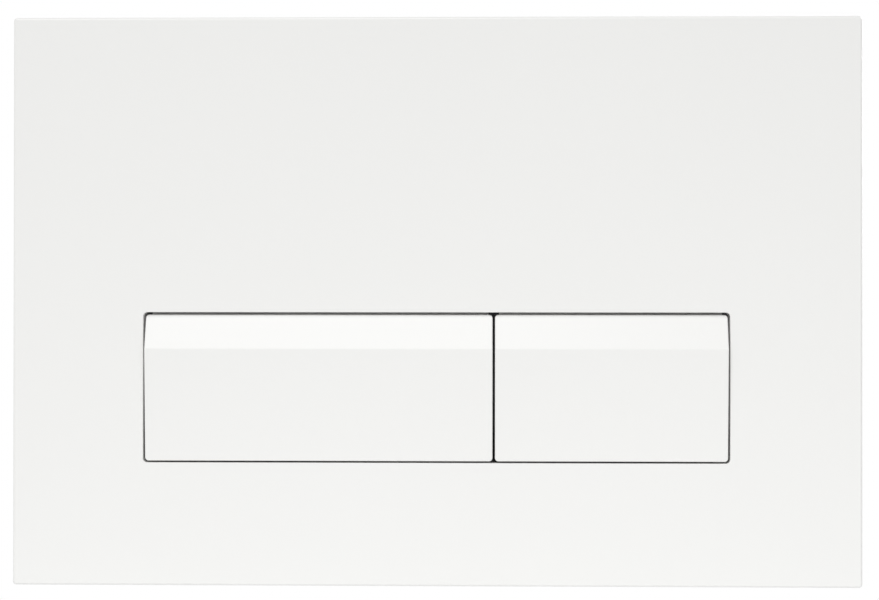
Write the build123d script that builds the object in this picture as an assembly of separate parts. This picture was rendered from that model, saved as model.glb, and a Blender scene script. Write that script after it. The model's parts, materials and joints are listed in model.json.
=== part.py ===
from build123d import *
from math import asin, atan2, cos, floor, hypot, pi, radians, sin, sqrt
import os

# A flush plate for a cistern behind the wall. A moulded cover holds two push buttons that tilt on
# steel pins. A carrier screwed to its back holds the pins, the return springs and the push rods,
# and the cover snaps onto a frame that two long screws hold on the wall.
# Sizes are in millimetres. Each piece is drawn lying face up: x runs to the right and y up the
# wall, as seen from the front, and z comes out of the wall, whose surface is z = 0.
# At the end every piece is stood up, so that the plate faces -Y with +Z up.

# Cover plate
plate_width = 246.0
plate_height = 165.0
plate_depth = 15.0
plate_corner_radius = 1.0
plate_edge_radius = 0.8
face_wall = 2.4
skirt_wall = 2.2
rib_wall = 1.2
rib_height = 2.4
rib_pitch = 27.0

# Window in the cover for the buttons, with a collar behind it
window_side_margin = 38.0
window_bottom_margin = 35.7
window_height = 43.6
window_corner_radius = 1.2
window_edge_radius = 0.25
collar_wall = 1.6
collar_depth = 3.0

# Screw bosses behind the cover, in three columns and two rows
boss_radius = 3.25
boss_from_collar = 0.8
boss_inset = 23.7
boss_gusset_reach = 2.6
boss_gusset_depth = 5.0
pilot_radius = 1.15
pilot_floor = 1.0

# Snap hooks behind the cover
hook_width = 14.0
hook_wall = 1.8
hook_inset = 45.0
hook_gap = 0.4
hook_reach = 1.0
hook_lead_in = 1.4
hook_land = 1.6
hook_play = 0.3

# Buttons: their gaps in the window, and the profile with its ridge
split_from_centre = 16.8
split_gap = 0.7
side_gap = 0.6
top_gap = 0.7
bottom_gap = 0.5
ridge_below_top = 10.0
ridge_rise = 2.0
ridge_radius = 1.2
top_recess = 1.3
button_wall = 2.0
button_corner_radius = 1.0
button_edge_radius = 0.35
button_rib_wall = 1.2
button_rib_depth = 4.5
button_rib_first = 12.0
button_rib_pitch = 18.0
lip_end_inset = 1.2
lip_catch = 1.2
lip_clearance = 0.3

# Hinge: one steel pin to a button, through the button's ears and the carrier's lugs
press_angle = 9.0
press_clearance = 0.5
pin_radius = 1.5
pin_behind_face = 7.0
pin_above_edge = 6.0
pin_end_inset = 0.2
running_clearance = 0.05
seat_clearance = 0.02
ear_wall = 1.6
lug_wall = 3.0
lug_rim = 1.55
lug_side_gap = 0.5

# Return springs, wound on the pins
wire_radius = 0.4
wire_facets = 8
coil_gap = 0.5
coil_turns = 4
coil_pitch = 0.95
coil_end_gap = 0.4
leg_length = 13.0
leg_gap = 0.1

# Button carrier
pin_above_web = 7.7
web_wall = 1.8
rim_wall = 1.8
rim_height = 3.0
rim_from_boss = 0.6
rim_from_collar = 0.6
carrier_corner_radius = 4.0
web_slot_length = 22.0
web_slot_width = 12.0
web_slot_first = 20.0
web_slot_pitch = 18.0
web_slot_above_lug = 2.0
web_slot_from_side = 4.0
pin_stop_half_height = 4.0
pin_stop_gap = 0.4

# Carrier screws
screw_clearance = 0.4
screw_head_radius = 2.8
screw_head_height = 1.8
screw_head_edge = 0.8
screw_tip_chamfer = 0.5
screw_tip_gap = 0.8
screw_recess_width = 0.8
screw_recess_length = 3.0
screw_recess_depth = 0.9

# Push rods: a domed sleeve in the carrier's guide, an adjusting screw and its locknut
pusher_arm = 26.0
pad_radius = 4.5
pad_above_web = 4.0
pad_gap = 0.3
pad_gusset_wall = 1.2
pad_gusset_reach = 4.0
dome_radius = 10.0
pusher_head_radius = 6.5
pusher_head_height = 3.6
pusher_stop_gap = 0.3
stem_radius = 5.0
stem_overrun = 8.0
stem_chamfer = 0.6
guide_clearance = 0.1
guide_wall = 1.6
guide_length = 14.0
cup_clearance = 0.6
thread_radius = 3.0
thread_clearance = 0.05
thread_engaged = 16.0
thread_tip_gap = 3.0
rod_reach = 60.0
rod_point_radius = 2.4
rod_point_length = 12.0
rod_point_edge = 1.2
thread_chamfer = 0.4
nut_across_flats = 10.0
nut_height = 5.0
nut_chamfer = 0.5

# Mounting frame
frame_gap = 6.0
frame_member = 12.0
frame_height = 7.0
frame_wall = 1.8
frame_corner_radius = 6.0
frame_rib_wall = 1.5
frame_rib_pitch = 28.0
fixing_inset = 12.8
fixing_ear_half = 11.0
fixing_ear_wall = 3.0
fixing_ear_rim = 1.5
fixing_slot_length = 14.0

# Fixing screws and their washers
fixing_radius = 3.0
fixing_clearance = 0.3
fixing_reach = 55.0
fixing_neck_relief = 0.25
fixing_neck_below = 1.0
fixing_tip_chamfer = 0.8
fixing_head_radius = 8.0
fixing_head_gap = 1.2
fixing_head_edge = 0.6
fixing_grip_count = 16
fixing_grip_radius = 0.9
fixing_drive_width = 1.4
fixing_drive_depth = 1.2
washer_wall = 1.0

# Levels, as heights above the wall
face = plate_depth
face_back = face - face_wall
rib_back = face_back - rib_height
collar_back = face_back - collar_depth
pin_level = face - pin_behind_face
web_front = pin_level - pin_above_web
web_back = web_front - web_wall
pilot_top = face_back - pilot_floor

# Places on the cover
inner_width = plate_width - 2 * skirt_wall
inner_height = plate_height - 2 * skirt_wall
window_half = plate_width / 2 - window_side_margin
window_width = 2 * window_half
window_bottom = window_bottom_margin - plate_height / 2
window_top = window_bottom + window_height
window_middle = (window_bottom + window_top) / 2
boss_row_offset = window_height / 2 + collar_wall + boss_from_collar + boss_radius
boss_places = Pos(0, window_middle) * GridLocations(window_half - boss_inset, 2 * boss_row_offset, 3, 2)

# Places on the buttons
button_bottom = window_bottom + bottom_gap
button_top = window_top - top_gap
ridge_at = button_top - ridge_below_top
large_left = side_gap - window_half
large_right = split_from_centre - split_gap / 2
small_left = split_from_centre + split_gap / 2
small_right = window_half - side_gap
button_spans = {"large": (large_left, large_right), "small": (small_left, small_right)}
pin_at = button_bottom + pin_above_edge
pusher_at = pin_at + pusher_arm
lip_reach = top_gap + lip_catch
lip_swing = (button_top + lip_reach - pin_at) * sin(radians(press_angle))
skirt_back = web_front + press_clearance + lip_swing
ear_radius = pin_radius + running_clearance + ear_wall
lug_radius = pin_radius + lug_rim
coil_radius = pin_radius + coil_gap + wire_radius
coil_space = coil_pitch * (coil_turns + 0.5) + 2 * (wire_radius + coil_end_gap)

# Push rods at rest, and their travel
pad_back = web_front + pad_above_web
pusher_front = pad_back - pad_gap
head_back = pusher_front - pusher_head_height
pusher_travel = pusher_arm * radians(press_angle)
cup_floor = head_back - pusher_travel - pusher_stop_gap
guide_bore = stem_radius + guide_clearance
guide_outer = guide_bore + guide_wall
guide_back = cup_floor - guide_length
cup_bore = pusher_head_radius + cup_clearance
cup_outer = cup_bore + guide_wall
stem_back = guide_back - stem_overrun
thread_bore = thread_radius + thread_clearance

# Places on the carrier and the frame
carrier_half = window_half + collar_wall + rim_from_collar + rim_wall
carrier_half_height = boss_row_offset + boss_radius + rim_from_boss + rim_wall
carrier_top = window_middle + carrier_half_height
frame_half_width = inner_width / 2 - frame_gap
frame_half_height = inner_height / 2 - frame_gap
opening_half_width = frame_half_width - frame_member
opening_half_height = frame_half_height - frame_member
fixing_x = opening_half_width - fixing_inset
fixing_y = (carrier_top + opening_half_height) / 2
fixing_head_back = fixing_ear_wall + washer_wall
hook_x = frame_half_width - hook_inset
hook_tip = frame_wall + hook_play
hook_catch = hook_tip + hook_lead_in + hook_land


def wall_prism(sketch, back, front):
    """A sketch parallel to the wall, drawn out in z from back to front."""
    return Pos(0, 0, back) * extrude(sketch, front - back)


def side_prism(points, left, right):
    """A side profile of (y, z) points, drawn out in x from left to right."""
    profile = make_face(Plane.YZ * Polyline(*points, close=True))
    return Pos(left, 0, 0) * extrude(profile, right - left, dir=(1, 0, 0))


def cross_rod(radius, left, right):
    """A rod along the hinge line from left to right."""
    return Pos(left, pin_at, pin_level) * extrude(Plane.YZ * Circle(radius), right - left)


def turned(outline):
    """A half section, drawn as lines of (radius, z) points, turned about z."""
    return revolve(make_face(Plane.XZ * outline), Axis.Z)


def stepped(first, pitch, limit):
    """Offsets on both sides of a middle: first, then every pitch, as far as limit."""
    count = max(0, floor((limit - first) / pitch) + 1)
    steps = [first + pitch * step for step in range(count)]
    return [side * step for side in (-1, 1) for step in steps]


def evenly(length, pitch):
    """Offsets inside a length, about a pitch apart and the same from each end."""
    count = max(1, round(length / pitch) - 1)
    spacing = length / (count + 1)
    return [spacing * (index + 1) - length / 2 for index in range(count)]


def window_sketch(growth=0.0):
    """The window's outline, grown outwards on all sides."""
    width = window_width + 2 * growth
    height = window_height + 2 * growth
    return Pos(0, window_middle) * RectangleRounded(width, height, window_corner_radius + growth)


def rib_grid(width, height, wall, pitch):
    """A sketch of crossing ribs over a rectangle."""
    upright = [Pos(x, 0) * Rectangle(wall, height) for x in evenly(width, pitch)]
    level = [Pos(0, y) * Rectangle(width, wall) for y in evenly(height, pitch)]
    return Sketch() + upright + level


def snap_hook(side):
    """A hook on the cover's back, with a barb that catches in the frame; side is 1 at the top."""
    inner = frame_half_height + hook_gap
    outer = inner + hook_wall
    barb = frame_half_height - hook_reach
    points = [
        (side * inner, face_back),
        (side * outer, face_back),
        (side * outer, hook_tip),
        (side * inner, hook_tip),
        (side * barb, hook_tip + hook_lead_in),
        (side * barb, hook_catch),
        (side * inner, hook_catch),
    ]
    return side_prism(points, -hook_width / 2, hook_width / 2)


def screw_boss():
    """A boss with crossed gussets that the carrier is screwed to."""
    reach = 2 * (boss_radius + boss_gusset_reach)
    gussets = Rectangle(reach, rib_wall) + Rectangle(rib_wall, reach)
    boss = wall_prism(Circle(boss_radius), web_front, face_back)
    return boss + wall_prism(gussets, face_back - boss_gusset_depth, face_back)


def cover_plate():
    plate = wall_prism(RectangleRounded(plate_width, plate_height, plate_corner_radius), 0, face)
    plate = fillet(plate.faces().sort_by(Axis.Z)[-1].edges(), plate_edge_radius)
    plate -= wall_prism(Rectangle(inner_width, inner_height), 0, face_back)
    plate -= wall_prism(window_sketch(), face_back, face)
    rim = plate.faces().sort_by(Axis.Z)[-1].inner_wires()[0].edges()
    plate = fillet(rim, window_edge_radius)

    ribs = rib_grid(inner_width, inner_height, rib_wall, rib_pitch) - window_sketch(collar_wall)
    collar = window_sketch(collar_wall) - window_sketch()
    bosses = [place * screw_boss() for place in boss_places]
    plate += wall_prism(ribs, rib_back, face_back)
    plate += [boss - wall_prism(window_sketch(collar_wall), web_front, face_back) for boss in bosses]
    plate += wall_prism(collar, collar_back, face_back)
    plate += [Pos(side * hook_x, 0, 0) * snap_hook(row) for side in (-1, 1) for row in (-1, 1)]
    return plate - [place * wall_prism(Circle(pilot_radius), web_front, pilot_top) for place in boss_places]


def button_front(y):
    """The height of a button's front at y, on its lower facet or its upper one."""
    if y < ridge_at:
        return face + ridge_rise * (y - button_bottom) / (ridge_at - button_bottom)
    return face + ridge_rise - (ridge_rise + top_recess) * (y - ridge_at) / ridge_below_top


def button_block(left, right, back):
    """A button's outer form, with rounded corners and front edges, down to a straight back."""
    points = [
        (button_bottom, back),
        (button_bottom, button_front(button_bottom)),
        (ridge_at, button_front(ridge_at)),
        (button_top, button_front(button_top)),
        (button_top, back),
    ]
    block = side_prism(points, left, right)
    block = fillet(block.edges().filter_by(Axis.Z), button_corner_radius)
    ridge = block.edges().filter_by(Axis.X).sort_by(Axis.Z)[-1]
    block = fillet(ridge, ridge_radius)
    front = block.faces().filter_by(lambda facet: facet.normal_at().Z > 0.5)
    rim = front.edges().filter_by(lambda edge: len(front.filter_by(lambda f: edge in f.edges())) == 1)
    return fillet(rim, button_edge_radius)


def button(left, right):
    """A push button: a shell with hinge ears at its sides, a stop lip, ribs and a pad post."""
    middle = (left + right) / 2
    # The block and the cuts run far past the back, which is then cut off along a slope
    back = rod_reach
    block = button_block(left, right, -back)
    inside_top = button_top - button_wall
    inside_bottom = button_bottom + button_wall
    hollow = [
        (inside_bottom, -back),
        (inside_bottom, button_front(inside_bottom) - button_wall),
        (ridge_at, button_front(ridge_at) - button_wall),
        (inside_top, button_front(inside_top) - button_wall),
        (inside_top, -back),
    ]
    behind = [
        (button_bottom, -back),
        (button_bottom, pin_level),
        (button_top, skirt_back),
        (button_top, -back),
    ]
    shell = block - side_prism(hollow, left + button_wall, right - button_wall)
    shell -= side_prism(behind, left, right)

    ribs_back = face - button_wall - button_rib_depth + ridge_rise
    ribs_bottom = pin_at + lug_radius + button_wall
    rib_length = button_top - ribs_bottom
    rib_middle = (button_top + ribs_bottom) / 2
    rib_limit = (right - left) / 2 - button_wall - button_rib_wall
    rib_places = stepped(button_rib_first, button_rib_pitch, rib_limit)
    rib = Pos(0, rib_middle) * Rectangle(button_rib_wall, rib_length)
    ribs = [Pos(middle + x, 0) * wall_prism(rib, ribs_back, face + ridge_rise) for x in rib_places]
    reach = 2 * (pad_radius + pad_gusset_reach)
    gussets = Rectangle(reach, pad_gusset_wall) + Rectangle(pad_gusset_wall, reach)
    post = wall_prism(Circle(pad_radius), pad_back, face + ridge_rise)
    post += wall_prism(gussets, ribs_back, face + ridge_rise)
    shell += [rib & block for rib in ribs]
    shell += Pos(middle, pusher_at, 0) * post & block

    lip_middle = button_top + (lip_reach - button_wall) / 2
    lip_length = right - left - 2 * lip_end_inset
    lip = Pos(middle, lip_middle) * Rectangle(lip_length, lip_reach + button_wall)
    shell += wall_prism(lip, skirt_back, collar_back - lip_clearance)

    ear = cross_rod(ear_radius, 0, button_wall)
    shell += [Pos(edge, 0, 0) * ear for edge in (left, right - button_wall)]
    return shell - cross_rod(pin_radius + running_clearance, left, right)


def hinge_pin(left, right):
    pin = cross_rod(pin_radius, left + pin_end_inset, right - pin_end_inset)
    return chamfer(pin.edges().filter_by(GeomType.CIRCLE), pin_end_inset)


def leg_angle(depth):
    """How steeply a spring's leg leaves the coil, to bear on a surface this far from the pin."""
    reach = depth - wire_radius - leg_gap
    return asin(reach / hypot(coil_radius, leg_length)) - atan2(coil_radius, leg_length)


def return_spring(left, right):
    """A torsion spring on the pin: one leg bears on the carrier's web, the other in the button."""
    web_leg = leg_angle(pin_level - web_front)
    button_leg = leg_angle(button_front(pin_at + leg_length) - button_wall - pin_level)
    length = coil_pitch * (coil_turns + 0.5 - (web_leg + button_leg) / (2 * pi))
    middle = (left + right) / 2
    first = 1.5 * pi - web_leg
    coil_frame = Plane(
        origin=(middle - length / 2, pin_at, pin_level),
        x_dir=(0, cos(first), sin(first)),
        z_dir=(1, 0, 0),
    )
    coil = coil_frame * Helix(coil_pitch, length, coil_radius, lefthand=True)
    web_end = coil @ 0 - (coil % 0) * leg_length
    button_end = coil @ 1 + (coil % 1) * leg_length
    wire = Wire([Edge.make_line(web_end, coil @ 0), coil, Edge.make_line(coil @ 1, button_end)])
    section = RegularPolygon(wire_radius, wire_facets)
    return sweep(Plane(origin=web_end, z_dir=coil % 0) * section, path=wire)


def carrier_lug(left):
    """A lug on the carrier's web that a pin is seated in."""
    foot = [
        (pin_at - lug_radius, web_front),
        (pin_at - lug_radius, pin_level),
        (pin_at + lug_radius, pin_level),
        (pin_at + lug_radius, web_front),
    ]
    lug = side_prism(foot, left, left + lug_wall) + cross_rod(lug_radius, left, left + lug_wall)
    return lug - cross_rod(pin_radius + seat_clearance, left, left + lug_wall)


def push_guide():
    """A guide for a push rod: a cup that its head sinks into, with a sleeve behind."""
    return turned(
        Polyline(
            (cup_bore, web_front),
            (cup_outer, web_front),
            (cup_outer, cup_floor - guide_wall),
            (guide_outer, cup_floor - guide_wall),
            (guide_outer, guide_back),
            (guide_bore, guide_back),
            (guide_bore, cup_floor),
            (cup_bore, cup_floor),
            close=True,
        )
    )


def carrier_outline(inset=0.0):
    """The carrier's outline, drawn in by an inset on all sides."""
    width = 2 * (carrier_half - inset)
    height = 2 * (carrier_half_height - inset)
    return Pos(0, window_middle) * RectangleRounded(width, height, carrier_corner_radius - inset)


def button_carrier():
    """The moulding behind the cover: a web with a rim, hinge lugs, pin stops and push rod guides."""
    web = carrier_outline() - [place * Circle(pilot_radius + screw_clearance) for place in boss_places]
    slot_middle = pin_at + lug_radius + web_slot_above_lug + web_slot_length / 2
    slot = Pos(0, slot_middle) * SlotOverall(web_slot_length, web_slot_width, rotation=90)
    lugs = []
    guides = []
    for left, right in button_spans.values():
        middle = (left + right) / 2
        slot_limit = (right - left) / 2 - web_slot_width / 2 - web_slot_from_side
        web -= [Pos(middle + x, 0) * slot for x in stepped(web_slot_first, web_slot_pitch, slot_limit)]
        web -= Pos(middle, pusher_at) * Circle(cup_bore)
        guides.append(Pos(middle, pusher_at, 0) * push_guide())
        lugs.append(carrier_lug(left + button_wall + lug_side_gap))
        lugs.append(carrier_lug(middle - coil_space / 2 - lug_wall))
        lugs.append(carrier_lug(middle + coil_space / 2))
        lugs.append(carrier_lug(right - button_wall - lug_side_gap - lug_wall))
    carrier = wall_prism(web, web_back, web_front) + guides + lugs
    carrier += wall_prism(carrier_outline() - carrier_outline(rim_wall), web_front, web_front + rim_height)
    stop = Rectangle(collar_wall + rim_from_collar, 2 * pin_stop_half_height)
    stop_x = window_half + (collar_wall + rim_from_collar) / 2
    stops = [Pos(side * stop_x, pin_at) * stop for side in (-1, 1)]
    return carrier + wall_prism(Sketch() + stops, web_front, collar_back - pin_stop_gap)


def cross_recess(length, width):
    return Rectangle(length, width) + Rectangle(width, length)


def carrier_screw():
    """A screw from behind through the carrier's web into a boss."""
    head_end = web_back - screw_head_height
    head = wall_prism(Circle(screw_head_radius), head_end, web_back)
    head = chamfer(head.edges().sort_by(Axis.Z)[0], screw_head_edge)
    recess = cross_recess(screw_recess_length, screw_recess_width)
    shank = wall_prism(Circle(pilot_radius - seat_clearance), web_back, pilot_top - screw_tip_gap)
    shank = chamfer(shank.edges().sort_by(Axis.Z)[-1], screw_tip_chamfer)
    return head + shank - wall_prism(recess, head_end, head_end + screw_recess_depth)


def push_sleeve():
    """The sliding part of a push rod, with a domed head that the button's pad presses."""
    dome = Pos(0, 0, pusher_front - dome_radius) * Sphere(dome_radius)
    head = wall_prism(Circle(pusher_head_radius), head_back, pusher_front) & dome
    stem = wall_prism(Circle(stem_radius), stem_back, head_back)
    stem = chamfer(stem.edges().sort_by(Axis.Z)[0], stem_chamfer)
    bore_end = stem_back + thread_engaged + thread_tip_gap
    return head + stem - wall_prism(Circle(thread_bore), stem_back, bore_end)


def push_screw():
    """The adjusting screw of a push rod, with a plain point behind."""
    point_start = rod_point_length - rod_reach
    screw = wall_prism(Circle(thread_radius), point_start, stem_back + thread_engaged)
    screw = chamfer(screw.edges().filter_by(GeomType.CIRCLE), thread_chamfer)
    point = wall_prism(Circle(rod_point_radius), -rod_reach, point_start)
    return screw + fillet(point.edges().sort_by(Axis.Z)[0], rod_point_edge)


def push_locknut():
    """A hexagon nut, chamfered at its corners, that locks the adjusting screw in the sleeve."""
    hexagon = RegularPolygon(nut_across_flats / 2, 6, major_radius=False)
    blank = wall_prism(Circle(nut_across_flats / sqrt(3)), stem_back - nut_height, stem_back)
    blank = chamfer(blank.edges().filter_by(GeomType.CIRCLE), nut_chamfer)
    return blank & wall_prism(hexagon - Circle(thread_bore), stem_back - nut_height, stem_back)


def frame_outline(half_width, half_height, inset, radius):
    """A rounded rectangle, drawn in by an inset on all sides."""
    return RectangleRounded(2 * (half_width - inset), 2 * (half_height - inset), radius - inset)


def fixing_ear():
    """An ear inside the frame's right member, with a slot for a fixing screw and two stiff edges."""
    inner = -fixing_ear_half
    outer = fixing_inset + frame_wall
    middle = (inner + outer) / 2
    edge_at = fixing_ear_half - fixing_ear_rim / 2
    slot = SlotOverall(fixing_slot_length, 2 * (fixing_radius + fixing_clearance))
    base = Pos(middle, 0) * Rectangle(outer - inner, 2 * fixing_ear_half) - slot
    edges = [Pos(middle, row * edge_at) * Rectangle(outer - inner, fixing_ear_rim) for row in (-1, 1)]
    return wall_prism(base, 0, fixing_ear_wall) + wall_prism(Sketch() + edges, 0, frame_height)


def mounting_frame():
    """The frame on the wall: a ribbed channel around a wide opening, with two fixing ears."""
    ring = frame_outline(frame_half_width, frame_half_height, 0, frame_corner_radius)
    ring -= frame_outline(opening_half_width, opening_half_height, 0, frame_corner_radius)
    channel = frame_outline(frame_half_width, frame_half_height, frame_wall, frame_corner_radius)
    channel -= frame_outline(opening_half_width, opening_half_height, -frame_wall, frame_corner_radius)
    channel -= rib_grid(2 * frame_half_width, 2 * frame_half_height, frame_rib_wall, frame_rib_pitch)
    frame = wall_prism(ring, 0, frame_height) - wall_prism(channel, frame_wall, frame_height)
    frame += Pos(fixing_x, fixing_y, 0) * fixing_ear()
    frame += Pos(-fixing_x, fixing_y, 0) * Rot(Z=180) * fixing_ear()
    catch = Rectangle(hook_width + 2 * hook_play, frame_wall)
    catch_at = frame_half_height - frame_wall / 2
    catches = [Pos(side * hook_x, row * catch_at) * catch for side in (-1, 1) for row in (-1, 1)]
    return frame - wall_prism(Sketch() + catches, frame_wall, hook_catch + hook_play)


def fixing_screw():
    """A captive screw: a gripped head, a relieved neck in the ear's slot and a long thread behind."""
    head_front = rib_back - fixing_head_gap
    grips = PolarLocations(fixing_head_radius, fixing_grip_count)
    head = wall_prism(Circle(fixing_head_radius), fixing_head_back, head_front)
    head = chamfer(head.edges().sort_by(Axis.Z)[-1], fixing_head_edge)
    grip = wall_prism(Circle(fixing_grip_radius), fixing_head_back, head_front)
    head -= [place * grip for place in grips]
    drive = Rectangle(2 * fixing_head_radius, fixing_drive_width)
    head -= wall_prism(drive, head_front - fixing_drive_depth, head_front)
    neck = wall_prism(Circle(fixing_radius - fixing_neck_relief), -fixing_neck_below, fixing_head_back)
    thread = wall_prism(Circle(fixing_radius), -fixing_reach, -fixing_neck_below)
    thread = chamfer(thread.edges().sort_by(Axis.Z)[0], fixing_tip_chamfer)
    return head + neck + thread


def fixing_washer():
    ring = Circle(fixing_head_radius) - Circle(fixing_radius + fixing_clearance)
    return wall_prism(ring, fixing_ear_wall, fixing_head_back)


def all_pieces():
    """Every piece by its name, as it lies with its face up."""
    pieces = {
        "cover_plate": cover_plate(),
        "button_carrier": button_carrier(),
        "carrier_screws": Part() + [place * carrier_screw() for place in boss_places],
        "mounting_frame": mounting_frame(),
    }
    for name, (left, right) in button_spans.items():
        rod_place = Pos((left + right) / 2, pusher_at, 0)
        pieces[name + "_button"] = button(left, right)
        pieces[name + "_hinge_pin"] = hinge_pin(left, right)
        pieces[name + "_return_spring"] = return_spring(left, right)
        pieces[name + "_push_sleeve"] = rod_place * push_sleeve()
        pieces[name + "_push_screw"] = rod_place * push_screw()
        pieces[name + "_push_locknut"] = rod_place * push_locknut()
    for name, side in (("left", -1), ("right", 1)):
        pieces[name + "_fixing_screw"] = Pos(side * fixing_x, fixing_y, 0) * fixing_screw()
        pieces[name + "_fixing_washer"] = Pos(side * fixing_x, fixing_y, 0) * fixing_washer()
    return pieces


stand_up = Rot(X=90)
os.makedirs("parts", exist_ok=True)
for name, piece in all_pieces().items():
    export_step(stand_up * piece, f"parts/{name}.step")
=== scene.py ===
# %% [markdown]
# # A flush button plate, from solid model to portrait
# This lesson dresses a two-button flush plate. The plate covers the service opening of a cistern
# that is built into the wall. Its white front shows a cover and two ridged buttons, and behind them
# are a carrier, hinge pins, springs, push rods and a frame that two long screws hold on the wall.
#
# The solid model is already right in size and place, so it is loaded as a fixed frame. Blender adds
# what a solid model leaves out: the skin of each material, the threads, the round spring wire and
# the studio. Everything is in metres, the plate faces -Y, and +Z is up.

# %% Load the solid model
import json
from math import atan2, pi, radians, tau

import bmesh
import bpy
from mathutils import Euler, Matrix, Vector


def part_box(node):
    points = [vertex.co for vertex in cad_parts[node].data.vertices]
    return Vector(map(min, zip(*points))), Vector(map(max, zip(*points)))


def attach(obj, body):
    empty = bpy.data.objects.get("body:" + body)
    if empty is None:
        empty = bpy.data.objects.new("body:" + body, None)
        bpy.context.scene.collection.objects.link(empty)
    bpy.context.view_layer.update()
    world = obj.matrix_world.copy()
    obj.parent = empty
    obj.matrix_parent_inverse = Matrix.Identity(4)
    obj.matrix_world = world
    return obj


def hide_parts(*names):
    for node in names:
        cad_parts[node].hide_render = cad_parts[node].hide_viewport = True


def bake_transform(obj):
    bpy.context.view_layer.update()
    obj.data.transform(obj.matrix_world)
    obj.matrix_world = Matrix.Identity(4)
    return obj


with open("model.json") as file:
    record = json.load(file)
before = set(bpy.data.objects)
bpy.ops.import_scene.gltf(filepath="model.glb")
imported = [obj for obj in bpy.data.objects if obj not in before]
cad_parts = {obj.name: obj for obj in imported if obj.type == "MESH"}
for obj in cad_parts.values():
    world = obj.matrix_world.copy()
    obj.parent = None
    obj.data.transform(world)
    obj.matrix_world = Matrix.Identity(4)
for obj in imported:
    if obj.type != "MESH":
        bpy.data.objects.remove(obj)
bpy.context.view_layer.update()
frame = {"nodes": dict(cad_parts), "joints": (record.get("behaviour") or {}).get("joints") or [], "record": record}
nodes = frame["nodes"]
mm = 0.001


# %% [markdown]
# ## Small helpers for shader trees
# A finish is a tree of shader nodes. Written out in full, every node takes several lines, so a few
# helpers shorten that: one gives an input its number or its link, one adds a node with its inputs
# by name, one adds a sum or a product, and one makes an empty group with named sockets. A group is
# built once and then placed in each material with its own values, as a recipe is used again with
# other quantities.

# %% Shader helpers
socket_types = {"value": "NodeSocketFloat", "color": "NodeSocketColor", "vector": "NodeSocketVector"}


def feed(tree, socket, value):
    """Gives an input a number or another node's output."""
    if isinstance(value, bpy.types.NodeSocket):
        tree.links.new(value, socket)
    else:
        socket.default_value = value


def add_node(tree, kind, settings=None, **inputs):
    """Adds a shader node, with its settings and then its inputs by name."""
    node = tree.nodes.new("ShaderNode" + kind)
    for name, value in (settings or {}).items():
        setattr(node, name, value)
    for name, value in inputs.items():
        feed(tree, node.inputs[name.replace("_", " ")], value)
    return node


def add_math(tree, operation, *operands, kind="Math", result="Value"):
    """Adds a Math or VectorMath node with its operands in order, and returns its result."""
    node = add_node(tree, kind, {"operation": operation})
    for socket, operand in zip(node.inputs, operands):
        feed(tree, socket, operand)
    return node.outputs[result]


def make_group(name, inputs, outputs):
    """An empty group with named sockets; returns it with its two ends."""
    group = bpy.data.node_groups.new(name, "ShaderNodeTree")
    for way, sockets in (("INPUT", inputs), ("OUTPUT", outputs)):
        for socket, kind in sockets.items():
            group.interface.new_socket(socket, in_out=way, socket_type=socket_types[kind])
    start = group.nodes.new("NodeGroupInput")
    end = group.nodes.new("NodeGroupOutput")
    return group, start.outputs, end.inputs


print("shader helpers ready")

# %% [markdown]
# ## The skin of a moulded plastic
# A moulding takes the texture of its steel mould: polished steel leaves a gloss with a faint waviness
# of one or two millimetres, and spark-eroded steel leaves a matt grain. Its pits are painted a little
# darker than its tops, which is painted shade. The melt also flows and cools unevenly, so colour and
# gloss drift over the piece.
# A photograph of plastic could give all that, but a procedural skin has no seams and no size, so one
# group of two noises is used: a fine one for the grain, and a broad one for the drift.

# %% Group: moulded skin
noise_middle = 0.5
fine_detail = 3.0
broad_detail = 2.0

moulded_skin, skin_in, skin_out = make_group(
    "moulded skin",
    {
        "Vector": "vector",
        "Color": "color",
        "Color Drift": "value",
        # The contrast of the grain is painted shade in its pits and painted light on its tops.
        "Pit Shade": "value",
        "Roughness": "value",
        "Roughness Drift": "value",
        "Grain Scale": "value",
        "Flow Scale": "value",
    },
    {"Color": "color", "Roughness": "value", "Height": "value"},
)
grain = add_node(
    moulded_skin,
    "TexNoise",
    Vector=skin_in["Vector"],
    Scale=skin_in["Grain Scale"],
    Detail=fine_detail,
).outputs["Fac"]
flow = add_node(
    moulded_skin,
    "TexNoise",
    Vector=skin_in["Vector"],
    Scale=skin_in["Flow Scale"],
    Detail=broad_detail,
).outputs["Fac"]
flow_swing = add_math(moulded_skin, "SUBTRACT", flow, noise_middle)
grain_swing = add_math(moulded_skin, "SUBTRACT", grain, noise_middle)
clouded = add_math(moulded_skin, "MULTIPLY_ADD", flow_swing, skin_in["Color Drift"], 1.0)
# The colour is darkened in the grain's pits and lightened on its tops, which is painted shade, and it drifts over
# the piece as the real colour does.
drift_and_pit_shade = add_math(moulded_skin, "MULTIPLY_ADD", grain_swing, skin_in["Pit Shade"], clouded)
tone = add_node(
    moulded_skin,
    "VectorMath",
    {"operation": "SCALE"},
    Vector=skin_in["Color"],
    Scale=drift_and_pit_shade,
)
skin_drift = skin_in["Roughness Drift"]
gloss = add_math(moulded_skin, "MULTIPLY_ADD", flow_swing, skin_drift, skin_in["Roughness"])
moulded_skin.links.new(tone.outputs["Vector"], skin_out["Color"])
moulded_skin.links.new(gloss, skin_out["Roughness"])
moulded_skin.links.new(grain, skin_out["Height"])
print("group", moulded_skin.name, "with", len(moulded_skin.nodes), "nodes")

# %% [markdown]
# ## The skin of a worked metal
# Steel shows how it was worked: grinding leaves fine lines around a pin, drawing leaves lines along a
# wire, and zinc plate leaves a cloudy, slightly blue bloom. All three are stretched noise, so the group
# takes the coordinates from outside. The material that uses it decides which way they are stretched.

# %% Group: worked metal
line_detail = 4.0
bloom_to_lines = 0.2

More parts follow.
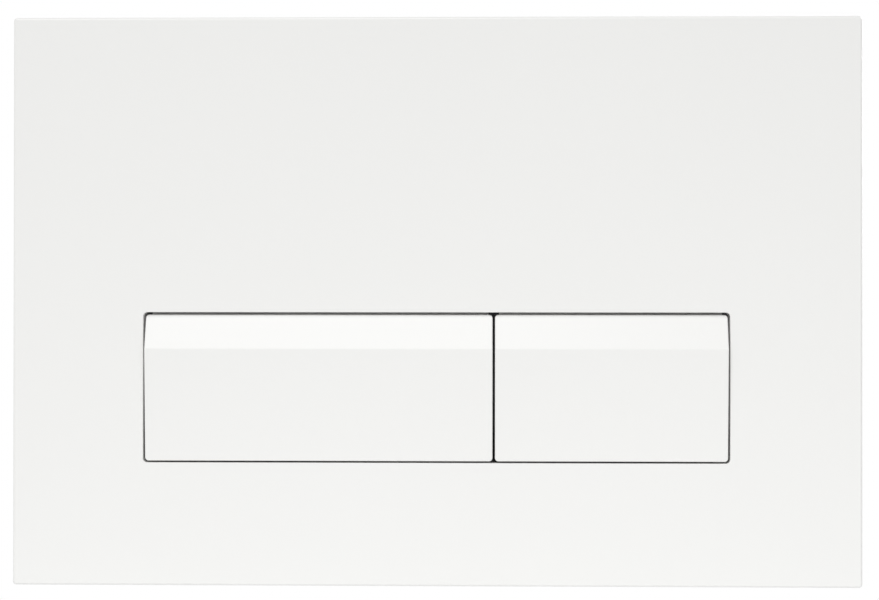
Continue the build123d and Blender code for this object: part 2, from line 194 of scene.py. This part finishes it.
worked_metal, metal_in, metal_out = make_group(
    "worked metal",
    {
        "Vector": "vector",
        "Color": "color",
        "Stain": "color",
        "Roughness": "value",
        "Roughness Drift": "value",
        "Line Scale": "value",
    },
    {"Color": "color", "Roughness": "value", "Height": "value"},
)
lines = add_node(
    worked_metal,
    "TexNoise",
    Vector=metal_in["Vector"],
    Scale=metal_in["Line Scale"],
    Detail=line_detail,
).outputs["Fac"]
bloom = add_node(
    worked_metal,
    "TexNoise",
    Vector=metal_in["Vector"],
    Scale=add_math(worked_metal, "MULTIPLY", metal_in["Line Scale"], bloom_to_lines),
    Detail=broad_detail,
).outputs["Fac"]
stained = add_node(
    worked_metal,
    "Mix",
    {"data_type": "RGBA"},
    Factor=bloom,
    A=metal_in["Color"],
    B=metal_in["Stain"],
)
line_swing = add_math(worked_metal, "SUBTRACT", lines, noise_middle)
metal_drift = metal_in["Roughness Drift"]
gloss = add_math(worked_metal, "MULTIPLY_ADD", line_swing, metal_drift, metal_in["Roughness"])
worked_metal.links.new(stained.outputs["Result"], metal_out["Color"])
worked_metal.links.new(gloss, metal_out["Roughness"])
worked_metal.links.new(lines, metal_out["Height"])
print("group", worked_metal.name, "with", len(worked_metal.nodes), "nodes")

# %% [markdown]
# ## From a skin to a material
# Each material is one Principled shader with a skin group in front of it. The skin's colour and
# roughness go straight in, and its height goes through a Bump node, which tilts the shading normal
# without moving the surface. Numbers that are the same all over, such as the metal share or the
# refraction of plastic, are set on the shader itself.

# %% Build a material around a skin
def skinned_material(name, skin, coordinates, values, relief, dents=None, **shader_values):
    """A Principled material whose colour, roughness and relief come from a skin group.

    coordinates is a function that adds the nodes for the skin's vector and returns their output.
    relief is the height of the bumps in metres, and dents a function that adds the nodes for shallow
    dents and returns their height, also in metres."""
    material = bpy.data.materials.new(name)
    material.use_nodes = True
    tree = material.node_tree
    tree.nodes.clear()
    skin_node = add_node(tree, "Group", {"node_tree": skin}, Vector=coordinates(tree))
    for socket, value in values.items():
        skin_node.inputs[socket].default_value = value
    height = skin_node.outputs["Height"]
    if dents:
        height = add_math(tree, "MULTIPLY_ADD", dents(tree), 1 / relief, height)
    bump = add_node(tree, "Bump", Strength=1.0, Distance=relief, Height=height)
    shader = add_node(
        tree,
        "BsdfPrincipled",
        Base_Color=skin_node.outputs["Color"],
        Roughness=skin_node.outputs["Roughness"],
        Normal=bump.outputs["Normal"],
        **shader_values,
    )
    add_node(tree, "OutputMaterial", Surface=shader.outputs["BSDF"])
    material.diffuse_color = values["Color"]
    return material


def on_the_piece(tree):
    """The piece's own coordinates, in metres."""
    return add_node(tree, "TexCoord").outputs["Object"]


print("material builder ready")

# %% [markdown]
# ## The marks of the ejector pins
# When a mould opens, steel pins push the piece off its core, and each leaves a shallow round dent on the
# hidden side. In the cover they stand between the ribs. The dents could be cut into the mesh, but they
# are a few hundredths of a millimetre deep and only catch the light, so they go into the relief.
# The place on the piece is wrapped into one cell of a grid, and a circle around the cell's middle then
# appears in every cell. The cells are worked out from the cover's size and the number of its ribs, and
# a limit in depth keeps the dents off the front.

# %% Dents of the pins
micron = 0.001 * mm
skirt_wall = 2.2 * mm
front_skin = 2.3 * mm
rib_cells_across = 9
rib_cells_up = 6
cover_low, cover_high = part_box("cover_plate")
inside = cover_high - cover_low - Vector.Fill(3, 2 * skirt_wall)
rib_cell_width = inside.x / rib_cells_across
rib_cell_height = inside.z / rib_cells_up
whole_depth = 1.0
pin_grid = Vector((2 * rib_cell_width, whole_depth, rib_cell_height))
pin_shift = (0.0, 0.0, rib_cell_height / 2)
pin_radius = 2.5 * mm
pin_edge = 0.2 * mm
pin_depth = 60 * micron
hidden_from = cover_low.y + front_skin
across_the_face = (1.0, 0.0, 1.0)


def pin_dents(tree):
    """Round dents on the hidden side, one to every second cell between the ribs."""
    place = on_the_piece(tree)
    centred = add_node(tree, "Mapping", Vector=place, Location=pin_shift).outputs["Vector"]
    corners = (pin_grid / 2, -pin_grid / 2)
    in_cell = add_math(tree, "WRAP", centred, *corners, kind="VectorMath", result="Vector")
    flat = add_math(tree, "MULTIPLY", in_cell, across_the_face, kind="VectorMath", result="Vector")
    dent = add_node(
        tree,
        "MapRange",
        Value=add_math(tree, "LENGTH", flat, kind="VectorMath"),
        From_Min=pin_radius,
        From_Max=pin_radius + pin_edge,
        To_Min=-pin_depth,
        To_Max=0.0,
    )
    depth = add_node(tree, "SeparateXYZ", Vector=place).outputs["Y"]
    hidden = add_math(tree, "GREATER_THAN", depth, hidden_from)
    return add_math(tree, "MULTIPLY", dent.outputs["Result"], hidden)


print("pin marks every", round(rib_cell_height / mm, 2), "mm,", round(pin_depth / micron), "microns deep")

# %% [markdown]
# ## The plastics
# The cover and the buttons are the same glossy white, moulded in polished steel. What hides behind them
# needs no gloss, so it is matt: a black carrier, a grey frame, black fixing screws. The push rods are a
# natural white slippery plastic and their adjusting screws are coloured, so that a fitter finds them.
# All are one recipe with different quantities: colour, gloss, grain, relief and how much they drift.

# %% Plastic finishes
plastic_ior = 1.5
flow_size = 60 * mm


def plastic(
    name, color, roughness, grain_size, relief, color_drift, roughness_drift, pit_shade, dents=None
):
    """A moulded plastic; grain_size is the width of its relief."""
    values = {
        "Color": (*color, 1.0),
        "Color Drift": color_drift,
        "Pit Shade": pit_shade,
        "Roughness": roughness,
        "Roughness Drift": roughness_drift,
        "Grain Scale": 1 / grain_size,
        "Flow Scale": 1 / flow_size,
    }
    return skinned_material(name, moulded_skin, on_the_piece, values, relief, dents, IOR=plastic_ior)


# The grain contrast of each finish is painted shade in the pits of its grain.
finishes = {
    "white_gloss": plastic(
        "white gloss", color=(0.86, 0.86, 0.845), roughness=0.3, grain_size=1.6 * mm, relief=3 * micron,
        color_drift=0.008, roughness_drift=0.06, pit_shade=0.0, dents=pin_dents,
    ),
    "carrier_plastic": plastic(
        "carrier black", color=(0.05, 0.05, 0.055), roughness=0.55, grain_size=0.7 * mm, relief=45 * micron,
        color_drift=0.7, roughness_drift=0.4, pit_shade=0.8,
    ),
    "frame_plastic": plastic(
        "frame grey", color=(0.33, 0.34, 0.36), roughness=0.6, grain_size=0.7 * mm, relief=45 * micron,
        color_drift=0.3, roughness_drift=0.4, pit_shade=0.4,
    ),
    "rod_plastic": plastic(
        "rod white", color=(0.78, 0.78, 0.74), roughness=0.4, grain_size=0.5 * mm, relief=6 * micron,
        color_drift=0.08, roughness_drift=0.2, pit_shade=0.04,
    ),
    "rod_thread_plastic": plastic(
        "thread blue", color=(0.12, 0.26, 0.46), roughness=0.42, grain_size=0.4 * mm, relief=6 * micron,
        color_drift=0.3, roughness_drift=0.2, pit_shade=0.15,
    ),
    "fixing_plastic": plastic(
        "fixing black", color=(0.045, 0.045, 0.05), roughness=0.5, grain_size=0.5 * mm, relief=25 * micron,
        color_drift=0.5, roughness_drift=0.3, pit_shade=0.6,
    ),
}
print(len(finishes), "plastics")

# %% [markdown]
# ## The metals
# The zinc-plated screws and washers use the plain coordinates of the piece, so their bloom is cloudy.
# A ground pin lies along X, so its pattern is squeezed along X: the noise then changes quickly
# along the pin and slowly around it, which draws the rings that a grinding wheel leaves. The wire
# can't use a place in space, because its direction turns with every coil. It carries its own
# attribute instead, the direction from the middle of the wire to its skin, which is the same all
# along the wire and so draws lines that follow it.

# %% Metal finishes
wire_side_attribute = "wire_side"
grinding_squeeze = (40.0, 1.0, 1.0)


def ground_along_x(tree):
    """Coordinates that change much faster along X than around it."""
    mapping = add_node(tree, "Mapping", Vector=on_the_piece(tree), Scale=grinding_squeeze)
    return mapping.outputs["Vector"]


def drawn_along_wire(tree):
    """The side of the wire that a point is on, as the spring's own attribute says."""
    return add_node(tree, "Attribute", {"attribute_name": wire_side_attribute}).outputs["Vector"]


def metal(name, coordinates, color, stain, roughness, roughness_drift, line_scale, relief):
    """A worked metal; line_scale is the number of lines to a unit of its coordinates."""
    values = {
        "Color": (*color, 1.0),
        "Stain": (*stain, 1.0),
        "Roughness": roughness,
        "Roughness Drift": roughness_drift,
        "Line Scale": line_scale,
    }
    return skinned_material(name, worked_metal, coordinates, values, relief, Metallic=1.0)


finishes["zinc_steel"] = metal(
    "zinc plate", on_the_piece, color=(0.62, 0.63, 0.65), stain=(0.5, 0.53, 0.58),
    roughness=0.34, roughness_drift=0.2, line_scale=900, relief=2 * micron,
)
finishes["pin_steel"] = metal(
    "ground pin", ground_along_x, color=(0.66, 0.66, 0.67), stain=(0.56, 0.56, 0.57),
    roughness=0.24, roughness_drift=0.16, line_scale=250, relief=1 * micron,
)
finishes["spring_steel"] = metal(
    "drawn wire", drawn_along_wire, color=(0.5, 0.5, 0.52), stain=(0.36, 0.35, 0.35),
    roughness=0.32, roughness_drift=0.2, line_scale=9, relief=3 * micron,
)
print(len(finishes), "finishes")

# %% [markdown]
# ## Dress the solid pieces
# The record of the model says which finish each piece takes. A loop reads it, so that no piece is
# forgotten, and puts the finish in the slot that the piece already has.

# %% Put the finishes on
for part in frame["record"]["subparts"]:
    for slot in nodes[part["node"]].material_slots:
        slot.material = finishes[part["material_slot"]]

# %% [markdown]
# ## A helper that turns a mesh in progress into a piece
# New pieces are shaped in a bmesh, Blender's editable mesh. When one is done, its faces are turned
# outwards and it becomes an object at the origin, with its place in its points. Shading is smooth,
# except across edges that are sharper than a limit.

# %% Finish a new piece
smooth_limit = radians(32)


def make_piece(name, bm, finish):
    """Turns a bmesh into an object with one finish, and says how many triangles it has."""
    bmesh.ops.recalc_face_normals(bm, faces=bm.faces)
    mesh = bpy.data.meshes.new(name)
    bm.to_mesh(mesh)
    bm.free()
    mesh.shade_smooth()
    mesh.set_sharp_from_angle(angle=smooth_limit)
    mesh.materials.append(finishes[finish])
    piece = bpy.data.objects.new(name, mesh)
    bpy.context.scene.collection.objects.link(piece)
    mesh.calc_loop_triangles()
    print(name, len(mesh.loop_triangles), "triangles")
    return piece


print("piece maker ready")

# %% [markdown]
# ## The return springs
# Each button has a torsion spring on its hinge pin: about four and a half turns of wire, with one leg on
# the carrier behind and the other inside the button. The solid model has it with an eight-sided wire. A
# curve with a round bevel could replace it, but a spin does the same in one operator, and its
# sections stay evenly spaced: a circle is turned around the pin while it moves along it, and then the
# two end faces are pulled out straight to make the legs. Four and a half turns would leave both legs
# upright, one behind the pin and one in front. Each leans until it bears on its piece, which takes
# the angle of the lean off the turns.

# %% Spring sizes and the wire's section
wire_radius = 0.4 * mm
wire_sides = 16
coil_radius = 2.4 * mm
coil_pitch = 0.95 * mm
coil_steps_per_turn = 40
leg_length = 13 * mm
leg_tip_bevel = 0.12 * mm
leg_tip_segments = 2
web_leg_lean = radians(22.54)
button_leg_lean = radians(14.95)
turns_with_upright_legs = 4.5
coil_turns = turns_with_upright_legs - (web_leg_lean + button_leg_lean) / tau
coil_length = coil_pitch * coil_turns
coil_lead = atan2(coil_pitch, tau * coil_radius)
behind_the_pin = 1.5 * pi
coil_start = behind_the_pin - web_leg_lean
along_x = Vector((1, 0, 0))


def wire_section(bm, place):
    """A disc across the wire at the start of the coil, with the wire's own attribute on it."""
    side_layer = bm.verts.layers.float_vector.new(wire_side_attribute)
    disc = bmesh.ops.create_circle(bm, cap_ends=True, segments=wire_sides, radius=wire_radius)
    for vert in disc["verts"]:
        vert[side_layer] = vert.co / wire_radius
    stand = Matrix.Rotation(-coil_lead, 4, "Z") @ Matrix.Rotation(pi / 2, 4, "X")
    turn = Matrix.Rotation(coil_start, 4, "X") @ Matrix.Translation((0, 0, coil_radius))
    bmesh.ops.transform(bm, matrix=Matrix.Translation(place) @ turn @ stand, verts=disc["verts"])
    return bm.faces[:]


print("coil of", round(coil_turns, 2), "turns,", round(coil_length / mm, 2), "mm long")

# %% Straight legs
def only(kind, geometry):
    """The points, edges or faces of what an operator gives back."""
    return [item for item in geometry if isinstance(item, kind)]


def pull_leg(bm, face, direction):
    """Pulls an end face of the wire out straight and rounds the cut end."""
    pulled = bmesh.ops.extrude_face_region(bm, geom=[face] + face.edges[:])["geom"]
    tip = only(bmesh.types.BMFace, pulled)[0]
    bmesh.ops.translate(bm, vec=direction * leg_length, verts=only(bmesh.types.BMVert, pulled))
    bmesh.ops.bevel(
        bm,
        geom=tip.edges[:],
        offset=leg_tip_bevel,
        offset_type="OFFSET",
        segments=leg_tip_segments,
        profile=0.5,
        affect="EDGES",
        material=-1,
    )


def wire_direction(angle):
    """The way that the wire runs where the coil has turned to an angle."""
    flat = Matrix.Rotation(-coil_lead, 3, "Z") @ Vector((0, 1, 0))
    return Matrix.Rotation(angle, 3, "X") @ flat


print("legs", round(leg_length / mm), "mm long")

# %% Wind the springs
def wind_spring(size):
    """A torsion spring of round wire on one button's pin."""
    joint = next(joint for joint in frame["joints"] if joint["name"] == size + "_button_press")
    pin_middle = Vector(joint["pos_m"])
    start = pin_middle - along_x * coil_length / 2
    bm = bmesh.new()
    section = wire_section(bm, start)
    steps = round(coil_steps_per_turn * coil_turns)
    bmesh.ops.spin(
        bm,
        geom=section,
        cent=pin_middle,
        axis=along_x,
        dvec=along_x * coil_length / steps,
        angle=-tau * coil_turns,
        steps=steps,
    )
    ends = [face for face in bm.faces if len(face.verts) == wire_sides]
    ends.sort(key=lambda face: face.calc_center_median().x)
    pull_leg(bm, ends[0], -wire_direction(coil_start))
    pull_leg(bm, ends[-1], wire_direction(coil_start - tau * coil_turns))
    piece = make_piece(size + "_spring_wire", bm, "spring_steel")
    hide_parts(size + "_return_spring")
    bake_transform(piece)


button_sizes = ("large", "small")
for size in button_sizes:
    wind_spring(size)

# %% [markdown]
# ## Threads
# The fixing screws and the adjusting screws of the push rods have a coarse M6 thread. In the solid model
# they are plain cylinders at the thread's outer size. A bump can't show a thread in outline, so it
# is cut as real geometry. A profile of a straight root, two flanks and a crest is spun once around
# the axis while it moves along by one pitch. That turn is then copied along the axis. Each turn ends
# exactly where the next begins, so merging the doubled points makes one continuous surface. There is a
# spare turn at each end, and two cuts trim the thread to length. Spinning all the turns in one go gives
# the same mesh, but takes far longer.

# %% One turn's profile
thread_pitch = 1.0 * mm
thread_depth = 0.61 * mm
thread_root_share = 0.2
thread_crest_share = 0.14


def thread_profile(bm, radius):
    """One turn's profile: the root, a flank, the crest and the other flank, along Y."""
    flank = (1 - thread_root_share - thread_crest_share) / 2
    core = radius - thread_depth
    stations = (
        (core, 0),
        (core, thread_root_share),
        (radius, thread_root_share + flank),
        (radius, thread_root_share + flank + thread_crest_share),
        (core, 1),
    )
    verts = [bm.verts.new((distance, thread_pitch * share, 0)) for distance, share in stations]
    return [bm.edges.new(pair) for pair in zip(verts, verts[1:])]


print("thread of", round(thread_pitch / mm, 2), "mm pitch,", round(thread_depth / mm, 2), "mm deep")

# %% The ends of a thread
merge_reach = 0.5 * micron
along_y = Vector((0, 1, 0))


def trim(bm, level, keep_below):
    """Cuts a mesh across Y at a level, drops one side and closes the cut."""
    everything = bm.verts[:] + bm.edges[:] + bm.faces[:]
    cut = bmesh.ops.bisect_plane(
        bm,
        geom=everything,
        dist=merge_reach,
        plane_co=along_y * level,
        plane_no=along_y,
        clear_outer=keep_below,
        clear_inner=not keep_below,
    )
    bmesh.ops.edgeloop_fill(bm, edges=only(bmesh.types.BMEdge, cut["geom_cut"]))


def taper(bm, level, towards, reach, radius, end_radius):
    """Draws a thread in to a smaller radius at its end, as a die or a chamfer leaves it."""
    for vert in bm.verts:
        depth = (vert.co.y - level) * towards
        if depth < reach:
            limit = end_radius + (radius - end_radius) * max(depth, 0) / reach
            distance = Vector((vert.co.x, vert.co.z)).length
            if distance > limit:
                vert.co.x *= limit / distance
                vert.co.z *= limit / distance


print("cuts merge points within", round(merge_reach / micron, 1), "microns")

# %% Cut a threaded shank
thread_steps = 32
spare_turns = 2


def threaded_shank(start, end, radius, run_out, tip_chamfer):
    """A threaded rod along Y from start to end, about the Y axis."""
    bm = bmesh.new()
    profile = thread_profile(bm, radius)
    bmesh.ops.translate(bm, vec=along_y * (start - thread_pitch), verts=bm.verts)
    bmesh.ops.spin(
        bm,
        geom=profile + bm.verts[:],
        cent=(0, 0, 0),
        axis=along_y,
        dvec=along_y * thread_pitch / thread_steps,
        angle=tau,
        steps=thread_steps,
    )
    one_turn = bm.verts[:] + bm.edges[:] + bm.faces[:]
    turns = round((end - start) / thread_pitch) + spare_turns
    for turn in range(1, turns):
        copied = bmesh.ops.duplicate(bm, geom=one_turn)["geom"]
        bmesh.ops.translate(bm, vec=along_y * thread_pitch * turn, verts=only(bmesh.types.BMVert, copied))
    bmesh.ops.remove_doubles(bm, verts=bm.verts, dist=merge_reach)
    trim(bm, start, keep_below=False)
    trim(bm, end, keep_below=True)
    core = radius - thread_depth
    taper(bm, start, 1, run_out, radius, core)
    taper(bm, end, -1, tip_chamfer, radius, radius - tip_chamfer)
    return bm


print("thread cutter with", thread_steps, "steps to a turn")

# %% Join a shank to a solid piece
def add_shank(bm, shank, place):
    """Adds a finished shank to a mesh in progress, moved to its place."""
    shank_mesh = bpy.data.meshes.new("shank")
    bmesh.ops.translate(shank, vec=place, verts=shank.verts)
    shank.to_mesh(shank_mesh)
    shank.free()
    bm.from_mesh(shank_mesh)
    bpy.data.meshes.remove(shank_mesh)


def merged_solid(node):
    """A bmesh of a solid piece, with the loose corners of its triangles merged."""
    mesh = nodes[node].data.copy()
    mesh.attributes.remove(mesh.attributes["custom_normal"])
    bm = bmesh.new()
    bm.from_mesh(mesh)
    bpy.data.meshes.remove(mesh)
    bmesh.ops.remove_doubles(bm, verts=bm.verts, dist=merge_reach)
    return bm


def axis_and_ends(node):
    """Where the Y axis of a turned piece lies, and the levels at which it starts and ends."""
    low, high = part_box(node)
    return Vector(((low.x + high.x) / 2, 0, (low.z + high.z) / 2)), low.y, high.y


print("shank joiner ready")

# %% [markdown]
# ## The fixing screws
# Two long screws hold the frame on the wall. Each has a gripped head for the fingers, a thinner neck
# that lets it slide along the slot in the frame, and the thread behind. Head and neck are taken over
# from the solid model, because they are right as they are, and only the plain shank is cut off and
# replaced by a threaded one. The thread starts just inside the neck, so that no seam shows.

# %% Thread the fixing screws
thread_radius = 3.0 * mm
neck_below_wall = 1.0 * mm
seam_overlap = 0.05 * mm
fixing_run_out = 1.5 * mm
fixing_tip_chamfer = 0.8 * mm
for side in ("left", "right"):
    node = side + "_fixing_screw"
    axis_place, _, screw_end = axis_and_ends(node)
    screw = merged_solid(node)
    trim(screw, neck_below_wall - seam_overlap, keep_below=True)
    shank_start = neck_below_wall - 2 * seam_overlap
    shank = threaded_shank(shank_start, screw_end, thread_radius, fixing_run_out, fixing_tip_chamfer)
    add_shank(screw, shank, axis_place)
    piece = make_piece(side + "_threaded_screw", screw, "fixing_plastic")
    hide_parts(node)
    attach(piece, "plate")

# %% [markdown]
# ## The adjusting screws
# The adjusting screw sets how far a push rod reaches. Its front is in the sleeve and its locknut, and a
# plain point behind meets the lever in the cistern. The point is kept from the solid model and the
# rest is threaded in the same way, up to just past the start of the point.

# %% Thread the adjusting screws
rod_point_length = 12 * mm
rod_end_chamfer = 0.4 * mm
for size in button_sizes:
    node = size + "_push_screw"
    axis_place, rod_start, rod_end = axis_and_ends(node)
    point_start = rod_end - rod_point_length
    rod = merged_solid(node)
    trim(rod, point_start + seam_overlap, keep_below=False)
    shank_end = point_start + 2 * seam_overlap
    shank = threaded_shank(rod_start, shank_end, thread_radius, rod_end_chamfer, rod_end_chamfer)
    add_shank(rod, shank, axis_place)
    piece = make_piece(size + "_threaded_rod", rod, "rod_thread_plastic")
    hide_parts(node)
    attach(piece, size + "_push_rod")

# %% [markdown]
# ## The dome and the backdrop
# A white object on white needs soft light that still tells its planes apart. A grey dome gives about half
# of the light from all sides, so that gaps and corners fall off gently. Brighter light would also make
# the background white, but it would bleach the plate, so the world asks what kind of ray meets it: the
# camera, mirrors and glass see a white backdrop, and only the dome's grey lights the plate.

# %% Dome and backdrop
dome_strength = 0.572
backdrop_strength = 1.0
pure_white = (1, 1, 1, 1)


def white_to_camera(tree):
    """A factor that is 1 for rays from the camera, from a mirror or through glass."""
    path = add_node(tree, "LightPath").outputs
    seen = add_math(tree, "MAXIMUM", path["Is Camera Ray"], path["Is Glossy Ray"])
    return add_math(tree, "MAXIMUM", seen, path["Is Transmission Ray"])


def add_mix(tree, share, first, second):
    """Mixes two shaders; a share of 1 is all the second."""
    mix = add_node(tree, "MixShader", Fac=share)
    tree.links.new(first.outputs[0], mix.inputs[1])
    tree.links.new(second.outputs[0], mix.inputs[2])
    return mix


world = bpy.data.worlds.new("studio")
bpy.context.scene.world = world
world.use_nodes = True
sky = world.node_tree
sky.nodes.clear()
dome = add_node(sky, "Background", Color=pure_white, Strength=dome_strength)
backdrop = add_node(sky, "Background", Color=pure_white, Strength=backdrop_strength)
sky_mix = add_mix(sky, white_to_camera(sky), dome, backdrop)
add_node(sky, "OutputWorld", Surface=sky_mix.outputs[0])
print("dome at", dome_strength)

# %% [markdown]
# ## The lamps
# A large lamp far above the camera gives most of the rest of the light, so that a face that leans up is a
# little brighter than one that leans down. A small lamp low in front does what a white card on the
# table does: it lifts the lower edge. One more behind is for views of the back, with its light kept in
# a narrow fan so that it stays off the floor in front. The camera doesn't see the lamps themselves.

# %% Lamps
plate_middle = Vector((0, 0, 0))


def soft_lamp(name, place, width, height, power, spread=pi):
    """A rectangular lamp that faces the plate; spread is the angle that its light fans out to."""
    light = bpy.data.lights.new(name, "AREA")
    light.shape = "RECTANGLE"
    light.size = width
    light.size_y = height
    light.energy = power
    light.spread = spread
    lamp = bpy.data.objects.new(name, light)
    bpy.context.scene.collection.objects.link(lamp)
    lamp.location = place
    lamp.rotation_euler = (plate_middle - Vector(place)).to_track_quat("-Z", "Y").to_euler()
    lamp.visible_camera = False
    return lamp


back_fan = radians(60)
lamps = [
    soft_lamp("key lamp", place=(-0.6, -1.9, 2.1), width=2.0, height=1.2, power=33.5),
    soft_lamp("low card", place=(0.03, -0.32, -0.2), width=0.6, height=0.1, power=0.34),
    soft_lamp("back lamp", place=(0.7, 1.4, 0.45), width=1.2, height=0.8, power=1.9, spread=back_fan),
]
print(len(lamps), "lamps of", [round(lamp.data.energy, 2) for lamp in lamps], "watts")

# %% [markdown]
# ## The floor
# The plate hangs as it does on a wall, and a pale round floor lies well below it, out of the picture. It
# is there for views from above, where it takes the plate's shadow. A floor's rim would show as a line, so
# the paint fades into the white backdrop before it gets there. From below the floor is clear, which
# the Backfacing output of the Geometry node tells, so that it never hides the plate.

# %% Floor
floor_level = -0.45
floor_radius = 0.7
floor_fade_start = 0.35
floor_sides = 96
floor_color = (0.9, 0.9, 0.9, 1.0)

floor_mesh = bmesh.new()
bmesh.ops.create_circle(floor_mesh, cap_ends=True, segments=floor_sides, radius=floor_radius)
bmesh.ops.translate(floor_mesh, vec=(0, 0, floor_level), verts=floor_mesh.verts)
floor_data = bpy.data.meshes.new("floor")
floor_mesh.to_mesh(floor_data)
floor_mesh.free()
floor = bpy.data.objects.new("floor", floor_data)
bpy.context.scene.collection.objects.link(floor)
print("floor", round(-floor_level / mm), "mm below the plate's middle")

# %% Floor paint
pale = bpy.data.materials.new("pale floor")
pale.use_nodes = True
paint = pale.node_tree
paint.nodes.clear()
matt = add_node(paint, "BsdfDiffuse", Color=floor_color)
white = add_node(paint, "Emission", Color=pure_white, Strength=backdrop_strength)
clear = add_node(paint, "BsdfTransparent")
place_on_floor = add_node(paint, "TexCoord").outputs["Object"]
from_middle = add_math(paint, "LENGTH", place_on_floor, kind="VectorMath")
fade = add_node(paint, "MapRange", Value=from_middle, From_Min=floor_fade_start, From_Max=floor_radius)
seen_fade = add_math(paint, "MULTIPLY", fade.outputs["Result"], white_to_camera(paint))
from_below = add_node(paint, "NewGeometry").outputs["Backfacing"]
upper_side = add_mix(paint, seen_fade, matt, white)
both_sides = add_mix(paint, from_below, upper_side, clear)
add_node(paint, "OutputMaterial", Surface=both_sides.outputs[0])
floor_data.materials.append(pale)
print("floor fades to white from", round(floor_fade_start / mm), "to", round(floor_radius / mm), "mm")

# %% [markdown]
# ## The camera
# The plate is seen nearly square on, from a little to the right of its middle. The distance was found
# from how much the buttons' receding top edges draw in, and the lens, turn and tilt from the corners
# of the cover.

# %% Camera
camera_place = Vector((15.11, -600, -2.77)) * mm
camera_turn = radians(1.373)
camera_tilt = radians(0.309)
camera_roll = radians(0.048)
camera_lens = 82.8
camera_sensor = 36.0

camera_data = bpy.data.cameras.new("camera")
camera_data.lens = camera_lens
camera_data.sensor_width = camera_sensor
camera = bpy.data.objects.new("camera", camera_data)
bpy.context.scene.collection.objects.link(camera)
aim = Euler((pi / 2 + camera_tilt, 0, camera_turn)).to_matrix() @ Matrix.Rotation(camera_roll, 3, "Z")
camera.matrix_world = Matrix.Translation(camera_place) @ aim.to_4x4()
bpy.context.scene.camera = camera
bpy.context.scene.view_settings.view_transform = "Standard"
print("camera", round(camera_place.length / mm), "mm from the plate's middle")
